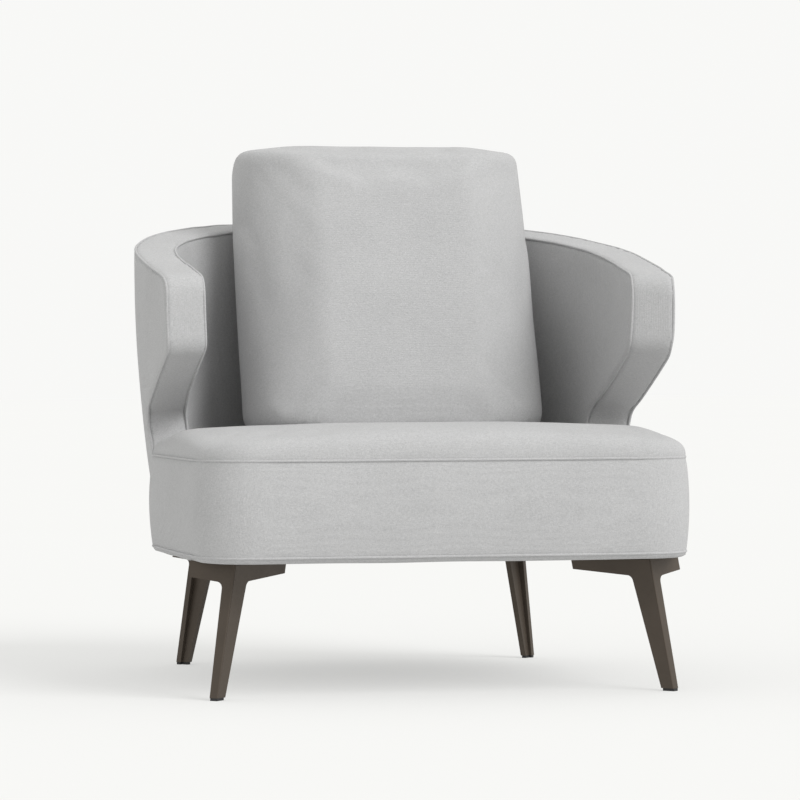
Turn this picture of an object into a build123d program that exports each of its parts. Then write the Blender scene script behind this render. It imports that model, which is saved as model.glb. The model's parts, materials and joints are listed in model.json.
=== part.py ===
from build123d import *
import os
from math import cos, radians, sin

# Upholstered armchair, in millimetres. +Z is up, the chair faces -Y, and the origin is on the floor
# under the middle of its outline. "Right" is +X.
#
# The arms and back are one curved shell of constant thickness. Every layer of it is the space between
# two copies of the same tub-shaped surface, each set in from the outer one by its own inset.

# ---- seat ----
SEAT_FRONT_HALF_WIDTH = 369.0
SEAT_REAR_HALF_WIDTH = 386.0
SEAT_FRONT_Y = -414.0
SEAT_CORNER_RADIUS = 85.0
SEAT_BOTTOM_Z = 202.0
SEAT_SIDE_END_Y = 8.0        # the seat widens to here, and inside the shell behind it
SEAT_BAND_BOTTOM_Z = 202.0
SEAT_SEAM_Z = 350.0          # seam between the side band and the top panel
SEAT_LOW_SEAM_Z = 209.0
SEAT_TOP_ROUND = 26.0
# The top panel's middle line, as (y, z)
SEAT_CROWN = ((-460.0, 383.0), (-175.0, 394.0), (125.0, 374.0), (420.0, 352.0))
SEAT_CROWN_Z = 394.0
SEAT_CROSS_RADIUS = 9000.0   # of the top panel from side to side
SEAT_TO_SHELL = 0.6
FABRIC = 2.0
PIPING_RADIUS = 2.5
WELT = 4.5                   # width of the shell's flat-backed welts
PIPING_GAP = 0.1             # between a welt and the fabric beside it
LAYER_GAP = 0.2              # between soft layers

# ---- shell ----
SHELL_HALF_WIDTH = 405.0     # at its widest, at TUB_MIDDLE_Y
TUB_MIDDLE_Y = 0.0
ARM_TUCK = 10.0              # how much narrower it is at the arms' front
TUB_FRONT_Y = -260.0         # the tub surface is drawn from here, in front of the arms
TUB_HEIGHTS = (190.0, 250.0, 330.0, 420.0, 510.0, 600.0, 860.0)    # of its outlines, past the rim
SHELL_THICKNESS = 66.0
SHELL_FRONT_Y = -210.0       # front edge of the arms
SHELL_FOOT_Y = 5.0           # where the shell's edge comes down beside the seat
SHELL_BOTTOM_Z = 205.0
SHELL_REAR_Y = 369.0         # back of the shell at its bottom
SHELL_LEAN = 46.0            # how much further back the rim's level is
SHELL_LEAN_HEIGHT = 525.0
WALL_STRAIGHT_Z = 600.0      # the side walls tuck in below this height
WALL_TUCK = 27.0
WALL_TUCK_HEIGHT = 280.0
ROUND_REAR = 2.3             # superellipse exponents: rounder at the rim, squarer at the bottom
SQUARE_REAR = 3.0
ROUND_REAR_Z = 560.0
RIM_HEIGHT = 656.0           # height of the rim's plane over the origin
RIM_SLOPE = 0.17             # the rim's plane rises to the back
ARM_LOWER_Z = 508.0          # front edge of the arm ends here
ARM_CORNER_RADIUS = 30.0
ARM_BEVEL = 45.0             # the arm's top edge leaves the rim's plane this far from its front
NOTCH_Y = 40.0               # where the arm's lower edge meets the seat
NOTCH_Z = 404.0
NOTCH_RADIUS = 28.0
EDGE_SKEW = 0.36             # the edge strip looks a little inwards

# Insets of the shell's layers from its outer face
FOAM_OUT = 2.0
PANEL_OUT = 10.0
PANEL_IN = 22.0
COVER_IN = 64.0
PANEL_EDGE_COVER = 12.0      # foam over the bent panel's edge
INNER_FOAM_Z = 284.5         # the inner foam starts above the seat's rails

# ---- seat frame ----
DUST_COVER = 1.0
DUST_COVER_INSET = 16.0
BOARD_BOTTOM_Z = SEAT_BOTTOM_Z + DUST_COVER
BOARD_THICKNESS = 18.0
BOARD_INSET = 14.0
RAIL_BOTTOM_Z = BOARD_BOTTOM_Z + BOARD_THICKNESS
RAIL_HEIGHT = 60.0
RAIL_TOP_Z = RAIL_BOTTOM_Z + RAIL_HEIGHT
RAIL_THICKNESS = 22.0
SIDE_RAIL_X = 332.0          # outer faces of the rails
SIDE_RAIL_END_Y = 90.0
FRONT_RAIL_Y = -391.0
REAR_RAIL_Y = 332.0
REAR_RAIL_HALF = 144.0
CORNER_BLOCK = 70.0
STRAP = 1.5
STRAP_WIDTH = 50.0
CROSS_STRAP_PITCH = 95.0
LONG_STRAP_PITCH = 60.0
STRAP_COUNT = 5
CROSS_STRAP_Y = -150.0       # middle one of the straps that run from side to side

# ---- legs ----
GLIDE_HEIGHT = 4.0
LEG_THICKNESS = 9.0
LEG_TOP_Z = SEAT_BOTTOM_Z
LEG_ARM_LOW_Z = 171.0        # lower edge of a leg's arm where it leaves the leg
LEG_ARM_END_Z = 178.0        # and at its end
LEG_PLATE = 6.0
LEG_INNER_ANGLE = 48.0       # between a leg's inner arm and the X axis
LEG_INNER_FOOT_WIDTH = 21.0
LEG_INNER_TOP_WIDTH = 38.0
LEG_OUTER_FOOT_WIDTH = 13.5
LEG_OUTER_TOP_WIDTH = 18.5
LEG_INNER_ARM = 142.0
LEG_FRONT_OUTER_ARM = 79.0
LEG_REAR_OUTER_ARM = 64.0
LEG_CREASE_RADIUS = 2.0
LEG_FORK_RADIUS = 10.0
FRONT_FOOT = (345.0, 366.0)  # distances of the crease from the middle, on the floor
FRONT_TOP = (313.0, 346.0)   # and under the seat
REAR_FOOT = (291.0, 327.0)
REAR_TOP = (263.0, 308.0)

# ---- screws ----
SCREW_RADIUS = 4.0
SCREW_HOLE_RADIUS = 4.3
SCREW_HEAD_RADIUS = 7.0
SCREW_HEAD = 4.5
LEG_SCREW_LENGTH = 20.0
INSERT_RADIUS = 6.0
INSERT_LENGTH = 13.0
FIT_GAP = 0.1
# Where a leg's three screws are, along its inner and its outer arm
LEG_SCREWS = ((34.0, 20.0), (60.0, 18.5), (86.0, 18.0))
SHELL_SCREW_Z = 251.0
SHELL_SCREW_Y = (46.0, 76.0)
SHELL_SCREW_X = (-110.0, 110.0)
SHELL_SCREW_SINK = 2.0       # of a screw head's underside into the bent panel
SHELL_SCREW_LENGTH = 36.0

# ---- back cushion ----
CUSHION_X = 19.0             # it sits a little off the middle
CUSHION_LOW_HALF_WIDTH = 241.0
CUSHION_TOP_HALF_WIDTH = 232.0
CUSHION_THICKNESS = 240.0
CUSHION_LEAN = 18.5          # degrees back from upright
CUSHION_SIDE_RADIUS = 105.0
CUSHION_TOP_RADIUS = 20.0
CUSHION_FRONT_Y = -3.0       # its front face at CUSHION_FRONT_Z
CUSHION_FRONT_Z = 429.0
CUSHION_TOP_Z = 834.0
CUSHION_RISE = 520.0         # from there past its top, along the lean
CUSHION_DROP = 120.0         # and down past the seat, where the seat cuts it off
CUSHION_GAP = 0.6            # inside the shell
# The cushion's sloping top behind, and its underside, a hair over the seat
CUSHION_BACK_TOP = Plane(origin=(0, 245, CUSHION_TOP_Z), x_dir=(1, 0, 0), z_dir=(0, 0.75, 1))
CUSHION_SEAT = Plane(origin=(0, -20, 388), x_dir=(1, 0, 0), z_dir=(0, 0.074, 1))
ZIP_LENGTH = 340.0
ZIP_Z = 485.0
ZIP_TAPE_HALF = 14.0
ZIP_TAPE = 1.0
ZIP_TEETH_HALF = 2.5
ZIP_TEETH = 1.5
ZIP_GAP = 0.3
SLIDER_LENGTH = 12.0
SLIDER_HALF = 5.0
SLIDER_HEIGHT = 4.0
PULL_LENGTH = 24.0
PULL_WIDTH = 6.0
PULL_THICKNESS = 1.2


# ---- the tub surface ----
def tub_half_width(z, inset):
    drop = max(WALL_STRAIGHT_Z - z, 0.0) / WALL_TUCK_HEIGHT
    return SHELL_HALF_WIDTH - inset - WALL_TUCK * drop ** 1.6


def tub_depth(z, inset):
    rise = max(z - SHELL_BOTTOM_Z, 0.0) / SHELL_LEAN_HEIGHT
    return SHELL_REAR_Y - TUB_MIDDLE_Y - inset + SHELL_LEAN * rise ** 1.5


def tub_exponent(z):
    share = (z - SHELL_BOTTOM_Z) / (ROUND_REAR_Z - SHELL_BOTTOM_Z)
    share = min(max(share, 0.0), 1.0)
    return SQUARE_REAR + (ROUND_REAR - SQUARE_REAR) * share


def across(fraction, exponent):
    """The other coordinate of a unit superellipse."""
    return max(1.0 - fraction ** exponent, 0.0) ** (1.0 / exponent)


def tub_x(y, z, inset):
    """Half-width of the tub at a given depth and height."""
    half = tub_half_width(z, inset)
    if y < TUB_MIDDLE_Y:
        return half - ARM_TUCK * ((y - TUB_MIDDLE_Y) / (SHELL_FRONT_Y - TUB_MIDDLE_Y)) ** 2
    return half * across(min((y - TUB_MIDDLE_Y) / tub_depth(z, inset), 1.0), tub_exponent(z))


def tub_y(x, z, inset):
    """Depth of the tub's rear wall at a given x and height."""
    fraction = abs(x) / tub_half_width(z, inset)
    return TUB_MIDDLE_Y + tub_depth(z, inset) * across(min(fraction, 1.0), tub_exponent(z))


def tub_outline(z, inset):
    """Points along the right half of the tub at one height, from the front of its arm."""
    half = tub_half_width(z, inset)
    depth = tub_depth(z, inset)
    arm = [TUB_FRONT_Y * share for share in (1.0, 0.7, 0.4, 0.15)]
    side = [TUB_MIDDLE_Y + depth * share for share in (0.12, 0.3, 0.48, 0.62, 0.74)]
    rear = [half * share for share in (0.58, 0.44, 0.28, 0.1)]
    return [(tub_x(y, z, inset), y) for y in arm + side] + [(x, tub_y(x, z, inset)) for x in rear]


def tub_solid(inset):
    with BuildPart() as tub:
        for z in TUB_HEIGHTS:
            right = tub_outline(z, inset)
            left = [(-x, y) for x, y in reversed(right)]
            with BuildSketch(Plane.XY.offset(z)):
                with BuildLine():
                    Spline(*right, *left)
                    Line(left[-1], right[0])
                make_face()
        loft()
    return tub.part


def edge_trim(grow):
    """What is cut away round the shell's edge, grown by a distance into the shell."""
    far = 2 * SHELL_HALF_WIDTH
    low_z = SHELL_BOTTOM_Z - 50
    start = 40                   # slides outside the arm, so the cut begins clear of it
    rim_z = RIM_HEIGHT + RIM_SLOPE * SHELL_FRONT_Y
    corner_y = SHELL_FRONT_Y + ARM_BEVEL
    slide = Vector(-1, EDGE_SKEW, EDGE_SKEW * RIM_SLOPE)
    origin = Vector(SHELL_HALF_WIDTH - ARM_TUCK, 0, 0) - slide * start
    with BuildPart() as trim:
        with BuildSketch(Plane(origin=origin, x_dir=(0, 1, 0), z_dir=(1, 0, 0))) as outline:
            with BuildLine():
                Polyline(
                    (SHELL_FOOT_Y, low_z),
                    (SHELL_FOOT_Y, SEAT_SEAM_Z),
                    (NOTCH_Y, NOTCH_Z),
                    (SHELL_FRONT_Y, ARM_LOWER_Z),
                    (SHELL_FRONT_Y, rim_z),
                    (corner_y, RIM_HEIGHT + RIM_SLOPE * corner_y),
                    (corner_y, far),
                    (-far, far),
                    (-far, low_z),
                    close=True,
                )
            make_face()
            for y, radius in ((SHELL_FRONT_Y, ARM_CORNER_RADIUS), (NOTCH_Y, NOTCH_RADIUS)):
                fillet(outline.vertices().filter_by_position(Axis.X, y - 1, y + 1), radius=radius)
            if grow:
                offset(amount=grow)
        extrude(amount=4 * start * slide.length, dir=slide)
        mirror(about=Plane.YZ)
        top = Plane(origin=(0, 0, RIM_HEIGHT), x_dir=(1, 0, 0), z_dir=(0, -RIM_SLOPE, 1))
        with BuildSketch(top.offset(-grow)):
            Rectangle(2 * far, 2 * far)
        extrude(amount=far)
    return trim.part


def shell_layer(outer, inner, trim, bottom_z):
    """The space between two tubs, inside the trimmed edge and over a height."""
    with BuildPart() as layer:
        add(tub_solid(outer))
        add(tub_solid(inner), mode=Mode.SUBTRACT)
        add(trims[trim], mode=Mode.SUBTRACT)
        split(bisect_by=Plane.XY.offset(bottom_z), keep=Keep.TOP)
    return layer.part


def edge_strip(outer, inner, width, bottom_z):
    """A strip along the shell's edge, between two insets."""
    with BuildPart() as strip:
        add(shell_layer(outer, inner, 0.0, bottom_z))
        add(trims[width], mode=Mode.INTERSECT)
    return strip.part


trims = {grow: edge_trim(grow) for grow in (0.0, FABRIC, WELT, PANEL_EDGE_COVER)}


# ---- seat pieces ----
def seat_side(inset, end_y):
    """The seat's right side in plan, from end_y to the sharp front corner."""
    widen = (SEAT_REAR_HALF_WIDTH - SEAT_FRONT_HALF_WIDTH) / (SEAT_SIDE_END_Y - SEAT_FRONT_Y)
    end_x = SEAT_REAR_HALF_WIDTH - inset + widen * (end_y - SEAT_SIDE_END_Y)
    return [(end_x, end_y), (SEAT_FRONT_HALF_WIDTH - inset, SEAT_FRONT_Y + inset)]


def seat_front_block(inset, end_y, bottom_z, top_z):
    """The seat's rounded front, as an upright block that ends flat at end_y."""
    right = seat_side(inset, end_y)
    left = [(-x, y) for x, y in reversed(right)]
    with BuildPart() as block:
        with BuildSketch(Plane.XY.offset(bottom_z)) as plan:
            with BuildLine():
                Polyline(*right, *left, close=True)
            make_face()
            fillet(plan.vertices().sort_by(Axis.Y)[:2], radius=SEAT_CORNER_RADIUS - inset)
        extrude(amount=top_z - bottom_z)
    return block.part


def seat_rear_block(inset, bottom_z, top_z):
    """The part of the seat inside the shell."""
    with BuildPart() as block:
        add(tub_solid(inset))
        with Locations((0, SEAT_SIDE_END_Y, bottom_z)):
            Box(
                2 * SHELL_HALF_WIDTH,
                2 * SHELL_HALF_WIDTH,
                top_z - bottom_z,
                align=(Align.CENTER, Align.MIN, Align.MIN),
                mode=Mode.INTERSECT,
            )
    return block.part


def crown_ring(lift):
    """Everything below the seat's crowned top, as a very wide ring about an axis far below it."""
    points = [(y, z + lift) for y, z in SEAT_CROWN]
    low_z = SEAT_BOTTOM_Z - 50
    with BuildPart() as ring:
        with BuildSketch(Plane.YZ):
            with BuildLine():
                Spline(*points)
                Polyline(points[-1], (points[-1][0], low_z), (points[0][0], low_z), points[0])
            make_face()
        revolve(axis=Axis((0, 0, SEAT_CROWN_Z - SEAT_CROSS_RADIUS), (0, 1, 0)), revolution_arc=360)
    return ring.part


def seat_cushion(inset, bottom_z):
    """The seat under its crowned top, with every face set in by the same distance."""
    run_out_y = SEAT_SIDE_END_Y + 32
    ring = crown_ring(-inset)
    with BuildPart() as cushion:
        add(seat_front_block(inset, run_out_y, bottom_z, SEAT_CROWN_Z + 20))
        add(ring, mode=Mode.INTERSECT)
        top = cushion.faces().sort_by(Axis.Z)[-1]
        rim = [edge for edge in top.edges() if edge.center().Y < run_out_y - 1]
        fillet(rim, radius=SEAT_TOP_ROUND - inset)
        split(bisect_by=Plane.XZ.offset(-SEAT_SIDE_END_Y), keep=Keep.TOP)
        with BuildPart(mode=Mode.PRIVATE) as rear:
            add(seat_rear_block(SHELL_THICKNESS + SEAT_TO_SHELL + inset, bottom_z, SEAT_CROWN_Z + 20))
            add(ring, mode=Mode.INTERSECT)
        add(rear.part)
    return cushion.part


def seat_welt(z):
    """A welt round the front and sides of the seat."""
    reach = PIPING_RADIUS + PIPING_GAP
    right = seat_side(-reach, SEAT_SIDE_END_Y)
    left = [(-x, y) for x, y in reversed(right)]
    with BuildPart() as welt:
        with BuildLine(Plane.XY.offset(z)) as path:
            Polyline(*right, *left)
            fillet(path.vertices().sort_by(Axis.Y)[:2], radius=SEAT_CORNER_RADIUS + reach)
        with BuildSketch(Plane(origin=path.line @ 0, z_dir=path.line % 0)):
            Circle(PIPING_RADIUS)
        sweep()
    return welt.part


# ---- legs ----
class Corner:
    """Where one leg stands, and the directions of its two arms."""

    def __init__(self, foot, top, x_sign, y_sign, outer_arm):
        turn = radians(LEG_INNER_ANGLE)
        self.foot = Vector(x_sign * foot[0], y_sign * foot[1], 0)
        self.top = Vector(x_sign * top[0], y_sign * top[1], LEG_TOP_Z)
        self.inner = Vector(-x_sign * cos(turn), -y_sign * sin(turn), 0)
        self.outer = Vector(x_sign * sin(turn), -y_sign * cos(turn), 0)
        self.outer_arm = outer_arm

    def screws(self):
        """The plan positions of the leg's screws."""
        spots = [self.top + self.inner * along + self.outer * across for along, across in LEG_SCREWS]
        return [(spot.X, spot.Y) for spot in spots]


def leg(corner):
    """Two flat plates that meet in a crease, each with an arm along the underside of the seat."""
    crease = corner.top - corner.foot
    plates = (
        (corner.inner, corner.outer, LEG_INNER_FOOT_WIDTH, LEG_INNER_TOP_WIDTH, LEG_INNER_ARM),
        (corner.outer, corner.inner, LEG_OUTER_FOOT_WIDTH, LEG_OUTER_TOP_WIDTH, corner.outer_arm),
    )
    over = 5.0
    with BuildPart() as frame:
        for arm, inward, foot_width, top_width, arm_length in plates:
            normal = crease.cross(arm).normalized()
            if normal.dot(inward) < 0:
                normal = -normal
            plane = Plane(origin=corner.foot, x_dir=arm, z_dir=normal)
            outline = (
                (0, 0),
                (foot_width, 0),
                (top_width, LEG_ARM_LOW_Z),
                (arm_length, LEG_ARM_END_Z),
                (arm_length, LEG_TOP_Z + over),
                (0, LEG_TOP_Z + over),
            )
            points = [
                plane.to_local_coords(corner.foot + crease * (z / LEG_TOP_Z) + arm * width)
                for width, z in outline
            ]
            with BuildSketch(plane) as plate:
                with BuildLine():
                    Polyline(*[(point.X, point.Y) for point in points], close=True)
                make_face()
                fillet(plate.vertices().sort_by_distance(points[2])[0], radius=LEG_FORK_RADIUS)
            extrude(amount=LEG_THICKNESS, dir=inward)
        fillet(frame.edges().sort_by_distance((corner.foot + corner.top) / 2)[0], radius=LEG_CREASE_RADIUS)
        split(bisect_by=Plane.XY.offset(GLIDE_HEIGHT), keep=Keep.TOP)
        split(bisect_by=Plane.XY.offset(LEG_TOP_Z), keep=Keep.BOTTOM)
        ends = (
            corner.top,
            corner.top + corner.inner * LEG_INNER_ARM,
            corner.top + corner.outer * corner.outer_arm,
        )
        with BuildSketch(Plane.XY.offset(LEG_TOP_Z - LEG_PLATE)):
            with BuildLine():
                Polyline(*[(end.X, end.Y) for end in ends], close=True)
            make_face()
        extrude(amount=LEG_PLATE)
        with Locations((0, 0, LEG_TOP_Z)):
            with Locations(*corner.screws()):
                Hole(radius=SCREW_HOLE_RADIUS, depth=LEG_PLATE)
    return frame.part


def glide(corner):
    """A thin pad under a leg's foot."""
    inset = 1.0
    with BuildPart() as pad:
        with BuildSketch():
            for arm, other, width in (
                (corner.inner, corner.outer, LEG_INNER_FOOT_WIDTH),
                (corner.outer, corner.inner, LEG_OUTER_FOOT_WIDTH),
            ):
                near = corner.foot + (arm + other) * inset
                far = near + arm * (width - 2 * inset)
                deep = other * (LEG_THICKNESS - 2 * inset)
                with BuildLine():
                    Polyline(*[(p.X, p.Y) for p in (near, far, far + deep, near + deep)], close=True)
                make_face()
        extrude(amount=GLIDE_HEIGHT)
    return pad.part


FRONT_LEFT = Corner(FRONT_FOOT, FRONT_TOP, -1, -1, LEG_FRONT_OUTER_ARM)
FRONT_RIGHT = Corner(FRONT_FOOT, FRONT_TOP, 1, -1, LEG_FRONT_OUTER_ARM)
REAR_LEFT = Corner(REAR_FOOT, REAR_TOP, -1, 1, LEG_REAR_OUTER_ARM)
REAR_RIGHT = Corner(REAR_FOOT, REAR_TOP, 1, 1, LEG_REAR_OUTER_ARM)
CORNERS = (FRONT_LEFT, FRONT_RIGHT, REAR_LEFT, REAR_RIGHT)


# ---- legs and their screws ----
with BuildPart() as leg_front_left:
    add(leg(FRONT_LEFT))

with BuildPart() as leg_front_right:
    add(leg(FRONT_RIGHT))

with BuildPart() as leg_rear_left:
    add(leg(REAR_LEFT))

with BuildPart() as leg_rear_right:
    add(leg(REAR_RIGHT))

with BuildPart() as glide_front_left:
    add(glide(FRONT_LEFT))

with BuildPart() as glide_front_right:
    add(glide(FRONT_RIGHT))

with BuildPart() as glide_rear_left:
    add(glide(REAR_LEFT))

with BuildPart() as glide_rear_right:
    add(glide(REAR_RIGHT))

leg_screw_spots = [spot for corner in CORNERS for spot in corner.screws()]
leg_screw_z = LEG_TOP_Z - LEG_PLATE

with BuildPart() as leg_screws:
    with BuildSketch(Plane.XY.offset(leg_screw_z - SCREW_HEAD)):
        with Locations(*leg_screw_spots):
            Circle(SCREW_HEAD_RADIUS)
    extrude(amount=SCREW_HEAD)
    with BuildSketch(Plane.XY.offset(leg_screw_z)):
        with Locations(*leg_screw_spots):
            Circle(SCREW_RADIUS)
    extrude(amount=LEG_SCREW_LENGTH)

with BuildPart() as leg_inserts:
    with BuildSketch(Plane.XY.offset(BOARD_BOTTOM_Z)):
        with Locations(*leg_screw_spots):
            Circle(INSERT_RADIUS)
            Circle(SCREW_RADIUS + FIT_GAP, mode=Mode.SUBTRACT)
    extrude(amount=INSERT_LENGTH)

# ---- seat frame ----
with BuildPart() as dust_cover:
    add(seat_front_block(DUST_COVER_INSET, SEAT_SIDE_END_Y, SEAT_BOTTOM_Z, BOARD_BOTTOM_Z))
    add(seat_rear_block(DUST_COVER_INSET, SEAT_BOTTOM_Z, BOARD_BOTTOM_Z))
    with Locations((0, 0, BOARD_BOTTOM_Z)):
        with Locations(*leg_screw_spots):
            Hole(radius=INSERT_RADIUS + FIT_GAP, depth=DUST_COVER)

with BuildPart() as base_board:
    board_top_z = BOARD_BOTTOM_Z + BOARD_THICKNESS
    add(seat_front_block(BOARD_INSET, SEAT_SIDE_END_Y, BOARD_BOTTOM_Z, board_top_z))
    add(seat_rear_block(PANEL_IN + LAYER_GAP, BOARD_BOTTOM_Z, board_top_z))
    with BuildSketch(Plane.XY.offset(BOARD_BOTTOM_Z)):
        with Locations(*leg_screw_spots):
            Circle(INSERT_RADIUS + FIT_GAP)
    extrude(amount=LEG_SCREW_LENGTH - LEG_PLATE - DUST_COVER + FIT_GAP, mode=Mode.SUBTRACT)

side_rail_length = SIDE_RAIL_END_Y - FRONT_RAIL_Y
side_rail_x = SIDE_RAIL_X - RAIL_THICKNESS / 2


def shell_screw_planes():
    """A plane under each shell screw's head, facing out of the shell."""
    planes = []
    for y in SHELL_SCREW_Y:
        seat_x = tub_x(y, SHELL_SCREW_Z, PANEL_OUT) - SHELL_SCREW_SINK
        for sign in (-1, 1):
            planes.append(Plane(origin=(sign * seat_x, y, SHELL_SCREW_Z), z_dir=(sign, 0, 0)))
    for x in SHELL_SCREW_X:
        seat_y = tub_y(x, SHELL_SCREW_Z, PANEL_OUT) - SHELL_SCREW_SINK
        planes.append(Plane(origin=(x, seat_y, SHELL_SCREW_Z), z_dir=(0, 1, 0)))
    return planes


def shell_screw_bars(radius, inward, outward):
    """A round bar at every shell screw."""
    with BuildPart() as bars:
        for plane in shell_screw_planes():
            with BuildSketch(plane.offset(-inward)):
                Circle(radius)
            extrude(amount=inward + outward)
    return bars.part


insert_hole = shell_screw_bars(INSERT_RADIUS + FIT_GAP, SHELL_SCREW_LENGTH + FIT_GAP, 0.0)
head_hole = shell_screw_bars(SCREW_HEAD_RADIUS + FIT_GAP, 0.0, SCREW_HEAD + FIT_GAP)
shank_hole = shell_screw_bars(SCREW_HOLE_RADIUS, SHELL_SCREW_LENGTH, 0.0)

with BuildPart() as seat_right_rail:
    with Locations((side_rail_x, (SIDE_RAIL_END_Y + FRONT_RAIL_Y) / 2, RAIL_BOTTOM_Z)):
        Box(
            RAIL_THICKNESS,
            side_rail_length,
            RAIL_HEIGHT,
            align=(Align.CENTER, Align.CENTER, Align.MIN),
        )
    add(insert_hole, mode=Mode.SUBTRACT)

with BuildPart() as seat_left_rail:
    add(seat_right_rail.part.mirror(Plane.YZ))

with BuildPart() as seat_front_rail:
    with Locations((0, FRONT_RAIL_Y, RAIL_BOTTOM_Z)):
        Box(
            2 * (SIDE_RAIL_X - RAIL_THICKNESS),
            RAIL_THICKNESS,
            RAIL_HEIGHT,
            align=(Align.CENTER, Align.MIN, Align.MIN),
        )

with BuildPart() as seat_rear_rail:
    with Locations((0, REAR_RAIL_Y, RAIL_BOTTOM_Z)):
        Box(2 * REAR_RAIL_HALF, RAIL_THICKNESS, RAIL_HEIGHT, align=(Align.CENTER, Align.MAX, Align.MIN))
    add(insert_hole, mode=Mode.SUBTRACT)

# Two slanting rails join the side rails to the rear one.
with BuildPart() as seat_slant_rails:
    with BuildSketch(Plane.XY.offset(RAIL_BOTTOM_Z)):
        with BuildLine():
            Polyline(
                (SIDE_RAIL_X, SIDE_RAIL_END_Y),
                (REAR_RAIL_HALF, REAR_RAIL_Y),
                (REAR_RAIL_HALF, REAR_RAIL_Y - RAIL_THICKNESS),
                (SIDE_RAIL_X - RAIL_THICKNESS, SIDE_RAIL_END_Y),
                close=True,
            )
        make_face()
        mirror(about=Plane.YZ)
    extrude(amount=RAIL_HEIGHT)

with BuildPart() as seat_corner_blocks:
    with BuildSketch(Plane.XY.offset(RAIL_BOTTOM_Z)):
        with BuildLine():
            corner_x = SIDE_RAIL_X - RAIL_THICKNESS
            corner_y = FRONT_RAIL_Y + RAIL_THICKNESS
            Polyline(
                (corner_x, corner_y),
                (corner_x, corner_y + CORNER_BLOCK),
                (corner_x - CORNER_BLOCK, corner_y),
                close=True,
            )
        make_face()
        mirror(about=Plane.YZ)
    extrude(amount=RAIL_HEIGHT)

with BuildPart() as webbing_cross:
    with Locations((0, CROSS_STRAP_Y, RAIL_TOP_Z)):
        with GridLocations(0, CROSS_STRAP_PITCH, 1, STRAP_COUNT):
            Box(2 * SIDE_RAIL_X, STRAP_WIDTH, STRAP, align=(Align.CENTER, Align.CENTER, Align.MIN))

with BuildPart() as webbing_long:
    with Locations((0, (FRONT_RAIL_Y + REAR_RAIL_Y) / 2, RAIL_TOP_Z + STRAP)):
        with GridLocations(LONG_STRAP_PITCH, 0, STRAP_COUNT, 1):
            Box(
                STRAP_WIDTH,
                REAR_RAIL_Y - FRONT_RAIL_Y,
                STRAP,
                align=(Align.CENTER, Align.CENTER, Align.MIN),
            )

# ---- seat padding ----
foam_bottom_z = RAIL_TOP_Z + 2 * STRAP
foam_inset = FABRIC + LAYER_GAP

with BuildPart() as seat_foam:
    add(seat_cushion(foam_inset, foam_bottom_z))

with BuildPart() as seat_edge_foam:
    add(seat_front_block(foam_inset, SEAT_SIDE_END_Y, RAIL_BOTTOM_Z, foam_bottom_z))
    with Locations((0, FRONT_RAIL_Y - LAYER_GAP, RAIL_BOTTOM_Z)):
        Box(
            2 * (SIDE_RAIL_X + LAYER_GAP),
            2 * SHELL_HALF_WIDTH,
            2 * RAIL_HEIGHT,
            align=(Align.CENTER, Align.MIN, Align.MIN),
            mode=Mode.SUBTRACT,
        )

with BuildPart() as seat_boxing:
    add(seat_front_block(0.0, SEAT_SIDE_END_Y, SEAT_BAND_BOTTOM_Z, SEAT_SEAM_Z))
    add(
        seat_front_block(FABRIC, SEAT_SIDE_END_Y, SEAT_BAND_BOTTOM_Z, SEAT_SEAM_Z),
        mode=Mode.SUBTRACT,
    )

with BuildPart() as seat_top_cover:
    add(seat_cushion(0.0, SEAT_SEAM_Z))
    add(seat_cushion(FABRIC, SEAT_SEAM_Z), mode=Mode.SUBTRACT)

with BuildPart() as seat_top_piping:
    add(seat_welt(SEAT_SEAM_Z))

with BuildPart() as seat_bottom_piping:
    add(seat_welt(SEAT_LOW_SEAM_Z))

# ---- shell ----
with BuildPart() as shell_outer_cover:
    add(shell_layer(0.0, FOAM_OUT, FABRIC, SHELL_BOTTOM_Z))

# The outer foam wraps round the bent panel's edge.
with BuildPart() as shell_outer_foam:
    add(shell_layer(FOAM_OUT, PANEL_IN, FABRIC, SHELL_BOTTOM_Z))
    add(shell_layer(PANEL_OUT, PANEL_IN, PANEL_EDGE_COVER, SHELL_BOTTOM_Z), mode=Mode.SUBTRACT)
    add(head_hole, mode=Mode.SUBTRACT)
    add(shank_hole, mode=Mode.SUBTRACT)

with BuildPart() as shell_panel:
    add(shell_layer(PANEL_OUT, PANEL_IN, PANEL_EDGE_COVER, SHELL_BOTTOM_Z))
    add(head_hole, mode=Mode.SUBTRACT)
    add(shank_hole, mode=Mode.SUBTRACT)

with BuildPart() as shell_inner_foam:
    add(shell_layer(PANEL_IN, COVER_IN, FABRIC, INNER_FOAM_Z))

with BuildPart() as shell_inner_cover:
    add(shell_layer(COVER_IN, SHELL_THICKNESS, FABRIC, INNER_FOAM_Z))

with BuildPart() as shell_border:
    add(edge_strip(0.0, PANEL_IN, FABRIC, SHELL_BOTTOM_Z))
    add(edge_strip(PANEL_IN, SHELL_THICKNESS, FABRIC, INNER_FOAM_Z))

with BuildPart() as shell_outer_piping:
    add(edge_strip(-WELT, -PIPING_GAP, WELT, SHELL_BOTTOM_Z))

with BuildPart() as shell_inner_piping:
    add(edge_strip(SHELL_THICKNESS + PIPING_GAP, SHELL_THICKNESS + WELT, WELT, SEAT_CROWN_Z + WELT))

with BuildPart() as shell_screws:
    add(shell_screw_bars(SCREW_HEAD_RADIUS, 0.0, SCREW_HEAD))
    add(shell_screw_bars(SCREW_RADIUS, SHELL_SCREW_LENGTH, 0.0))

with BuildPart() as shell_inserts:
    add(shell_screw_bars(INSERT_RADIUS, SHELL_SCREW_LENGTH, -SHELL_SCREW_LENGTH + INSERT_LENGTH))
    add(shell_screw_bars(SCREW_RADIUS + FIT_GAP, SHELL_SCREW_LENGTH, 0.0), mode=Mode.SUBTRACT)

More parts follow.
